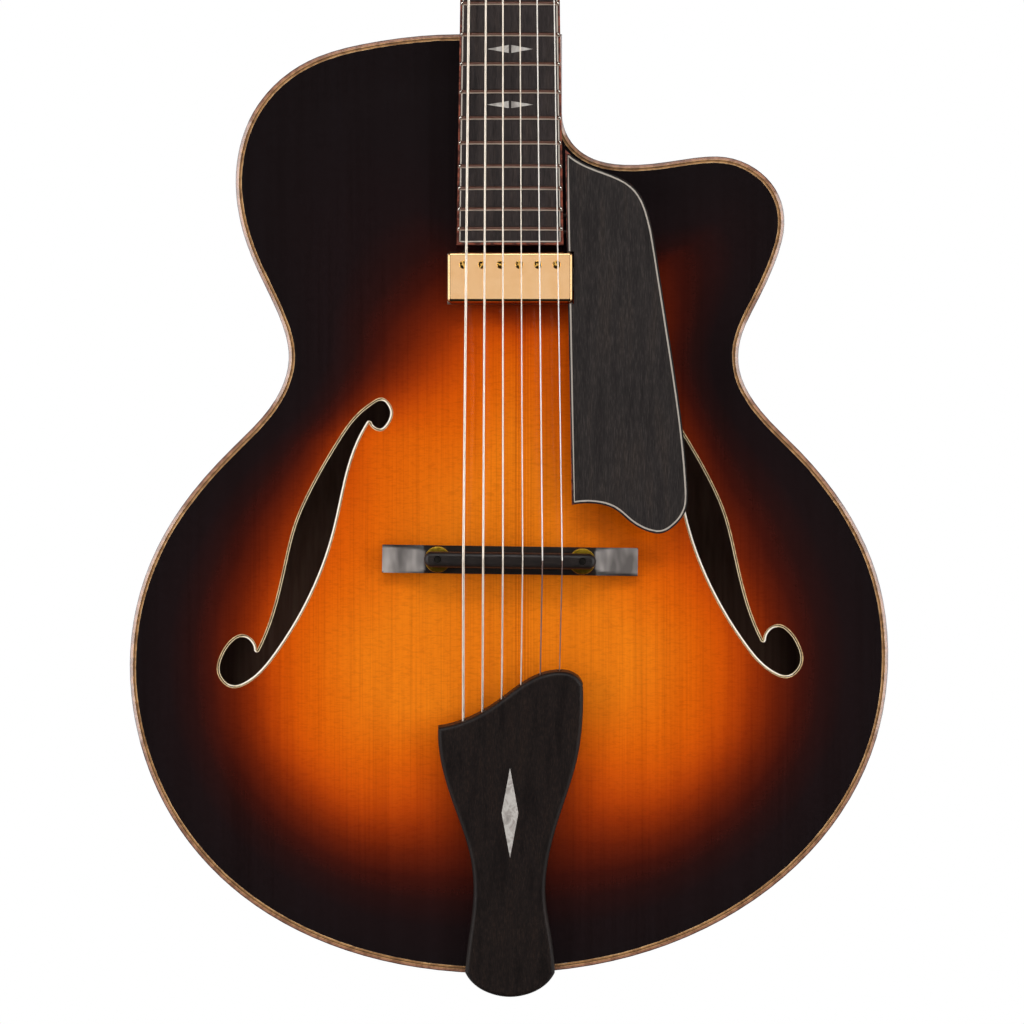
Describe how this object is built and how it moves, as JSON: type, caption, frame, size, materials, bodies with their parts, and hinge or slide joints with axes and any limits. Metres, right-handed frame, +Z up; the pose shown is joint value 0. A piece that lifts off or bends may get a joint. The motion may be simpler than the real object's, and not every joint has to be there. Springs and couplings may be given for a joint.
{
  "type": "archtop guitar",
  "caption": "Hollow-body archtop guitar with carved top, bound f-holes, cutaway, floating pickup and pickguard, height-adjustable bridge and wooden tailpiece.",
  "frame": {"origin": "centre line at the outside of the rim's tail end, half way through the rim's depth, on the axis of the output jack", "axes": "+Z up along the neck, -Y out of the carved top, +X to the treble side with the cutaway"},
  "size_m": [0.4083, 0.1358, 1.0372],
  "materials": {
    "spruce_top": "gloss sunburst lacquer",
    "maple": "gloss sunburst lacquer",
    "maple_neck": "gloss lacquer",
    "inner_spruce": "bare wood",
    "binding_wood": "gloss lacquer",
    "ebony": "satin oil",
    "pearl": "polished pearl",
    "bone": "polished bone",
    "gold": "gold plate",
    "fret_wire": "polished",
    "steel": "drawn steel",
    "string_winding": "wound wire",
    "coil": "taped wire",
    "magnet": "cast",
    "pot": "plain",
    "wheel_plastic": "moulded"
  },
  "bodies": {
    "body": {"top_plate": "spruce_top", "back_plate": "maple", "side_bass": "maple", "side_treble": "maple", "linings": "inner_spruce", "neck_block": "inner_spruce", "tail_block": "inner_spruce", "tone_bars": "inner_spruce", "top_binding": "binding_wood", "back_binding": "binding_wood", "f_hole_bindings": "binding_wood", "neck": "maple_neck", "heel_cap": "ebony", "fingerboard": "ebony", "fingerboard_binding": "binding_wood", "frets": "fret_wire", "fingerboard_inlays": "pearl", "nut": "bone", "headstock_veneer": "ebony", "truss_rod": "steel", "truss_rod_cover": "ebony", "tuner_housings": "gold", "tuner_bushings": "gold", "plain_strings": "steel", "wound_strings": "string_winding", "bridge_base": "ebony", "bridge_posts": "gold", "tailpiece": "ebony", "tailpiece_inlay": "pearl", "tailpiece_bracket": "gold", "output_jack": "gold", "jack_nut": "gold", "strap_button": "gold", "pickguard": "ebony", "pickguard_binding": "binding_wood", "pickguard_support": "ebony", "pickguard_pins": "gold", "pickup_cover": "gold", "pickup_base": "steel", "pickup_coils": "coil", "pickup_magnet": "magnet", "pickup_poles": "gold", "volume_pot": "pot"},
    "saddle": {"bridge_saddle": "ebony"},
    "wheel_bass": {"thumbwheel_bass": "gold"},
    "wheel_treble": {"thumbwheel_treble": "gold"},
    "volume": {"volume_wheel": "wheel_plastic"},
    "post_1": {"tuner_post_1": "gold"},
    "button_1": {"tuner_button_1": "gold"},
    "post_2": {"tuner_post_2": "gold"},
    "button_2": {"tuner_button_2": "gold"},
    "post_3": {"tuner_post_3": "gold"},
    "button_3": {"tuner_button_3": "gold"},
    "post_4": {"tuner_post_4": "gold"},
    "button_4": {"tuner_button_4": "gold"},
    "post_5": {"tuner_post_5": "gold"},
    "button_5": {"tuner_button_5": "gold"},
    "post_6": {"tuner_post_6": "gold"},
    "button_6": {"tuner_button_6": "gold"}
  },
  "joints": [
    {"name": "thumbwheel_bass_turn", "type": "hinge", "parent": "saddle", "child": "wheel_bass", "pos_m": [-0.0387, -0.0687, 0.22304], "axis": [0, -1, 0], "range_deg": [-890, 1340], "deforming": ["plain_strings", "wound_strings"]},
    {"name": "saddle_lift", "type": "slide", "parent": "body", "child": "saddle", "axis": [0, -1, 0], "range_m": [-0.002, 0.003], "deforming": ["plain_strings", "wound_strings"]},
    {"name": "thumbwheel_treble_turn", "type": "hinge", "parent": "saddle", "child": "wheel_treble", "pos_m": [0.0387, -0.0687, 0.22196], "axis": [0, -1, 0], "range_deg": [-900, 1350]},
    {"name": "volume_turn", "type": "hinge", "parent": "body", "child": "volume", "pos_m": [0.08, -0.06759, 0.27107], "axis": [0, -0.9976, 0.0698], "range_deg": [-270, 0]},
    {"name": "button_1_turn", "type": "hinge", "parent": "body", "child": "button_1", "pos_m": [0.022, 0.00779, 0.89954], "axis": [1, 0, 0], "continuous": true},
    {"name": "post_1_turn", "type": "hinge", "parent": "body", "child": "post_1", "pos_m": [0.022, -0.0125, 0.89856], "axis": [0, -0.9511, 0.309], "continuous": true},
    {"name": "button_2_turn", "type": "hinge", "parent": "body", "child": "button_2", "pos_m": [0.022, 0.01954, 0.93568], "axis": [1, 0, 0], "continuous": true},
    {"name": "post_2_turn", "type": "hinge", "parent": "body", "child": "post_2", "pos_m": [0.022, -0.00076, 0.9347], "axis": [0, -0.9511, 0.309], "continuous": true},
    {"name": "button_3_turn", "type": "hinge", "parent": "body", "child": "button_3", "pos_m": [0.022, 0.03128, 0.97182], "axis": [1, 0, 0], "continuous": true},
    {"name": "post_3_turn", "type": "hinge", "parent": "body", "child": "post_3", "pos_m": [0.022, 0.01098, 0.97084], "axis": [0, -0.9511, 0.309], "continuous": true},
    {"name": "button_4_turn", "type": "hinge", "parent": "body", "child": "button_4", "pos_m": [-0.022, 0.03128, 0.97182], "axis": [-1, 0, 0], "continuous": true},
    {"name": "post_4_turn", "type": "hinge", "parent": "body", "child": "post_4", "pos_m": [-0.022, 0.01098, 0.97084], "axis": [0, -0.9511, 0.309], "continuous": true},
    {"name": "button_5_turn", "type": "hinge", "parent": "body", "child": "button_5", "pos_m": [-0.022, 0.01954, 0.93568], "axis": [-1, 0, 0], "continuous": true},
    {"name": "post_5_turn", "type": "hinge", "parent": "body", "child": "post_5", "pos_m": [-0.022, -0.00076, 0.9347], "axis": [0, -0.9511, 0.309], "continuous": true},
    {"name": "button_6_turn", "type": "hinge", "parent": "body", "child": "button_6", "pos_m": [-0.022, 0.00779, 0.89954], "axis": [-1, 0, 0], "continuous": true},
    {"name": "post_6_turn", "type": "hinge", "parent": "body", "child": "post_6", "pos_m": [-0.022, -0.0125, 0.89856], "axis": [0, -0.9511, 0.309], "continuous": true}
  ],
  "couplings": [
    {"joint": "saddle_lift", "follows": "thumbwheel_bass_turn", "m_per_rad": 0.00012732},
    {"joint": "thumbwheel_treble_turn", "follows": "thumbwheel_bass_turn", "ratio": 1},
    {"joint": "post_1_turn", "follows": "button_1_turn", "ratio": 0.071429},
    {"joint": "post_2_turn", "follows": "button_2_turn", "ratio": 0.071429},
    {"joint": "post_3_turn", "follows": "button_3_turn", "ratio": 0.071429},
    {"joint": "post_4_turn", "follows": "button_4_turn", "ratio": 0.071429},
    {"joint": "post_5_turn", "follows": "button_5_turn", "ratio": 0.071429},
    {"joint": "post_6_turn", "follows": "button_6_turn", "ratio": 0.071429}
  ]
}
